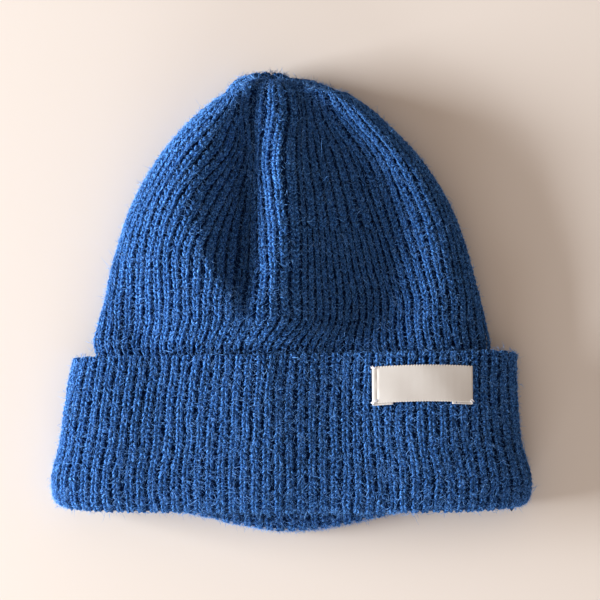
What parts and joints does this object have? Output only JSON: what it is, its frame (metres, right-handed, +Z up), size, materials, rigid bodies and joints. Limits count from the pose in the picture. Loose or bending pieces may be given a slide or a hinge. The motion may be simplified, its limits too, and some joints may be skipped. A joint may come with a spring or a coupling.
{
  "type": "knitted baby hat with a turned-up cuff",
  "caption": "Ribbed knitted baby hat lying flat: a crown gathered at the top, a deep turned-up cuff and a small plain woven label.",
  "frame": {"origin": "middle of the hat's box in plan, on the surface it lies on", "axes": "+X across the hat, +Y from the opening to the gathered top, +Z up from the surface through the front of the hat"},
  "size_m": [0.178, 0.1712, 0.0255],
  "materials": {
    "wool_knit": "fuzzy ribbed wool knit, matte",
    "woven_tape": "closely woven off-white tape, slightly ribbed"
  },
  "bodies": {
    "root": {"crown": "wool_knit", "cuff": "wool_knit", "label": "woven_tape"}
  },
  "joints": []
}
